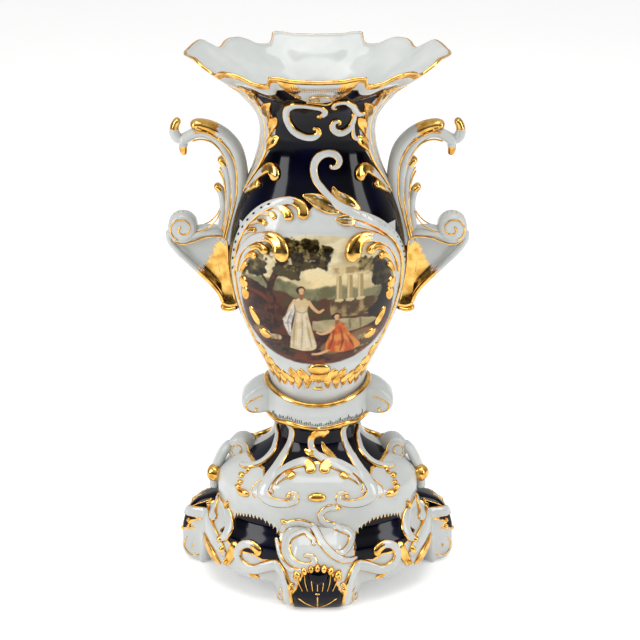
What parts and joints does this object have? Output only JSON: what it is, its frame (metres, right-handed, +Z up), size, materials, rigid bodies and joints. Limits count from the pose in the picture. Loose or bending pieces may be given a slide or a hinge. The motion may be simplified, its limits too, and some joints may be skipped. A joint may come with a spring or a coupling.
{
  "type": "vase",
  "caption": "Two-handled porcelain vase with a frilled mouth and moulded scrolls, on its own footed pedestal.",
  "frame": {"origin": "centre of the footprint, on the surface that the feet stand on", "axes": "+Z up, +X to the right seen from the front, the painted front towards -Y"},
  "size_m": [0.2433, 0.1842, 0.4528],
  "materials": {
    "white_glaze": "glossy white porcelain glaze",
    "cobalt_glaze": "glossy deep blue porcelain glaze",
    "gilding": "burnished gilding"
  },
  "bodies": {
    "root": {"vase_body": "white_glaze", "pedestal": "white_glaze"}
  },
  "joints": []
}
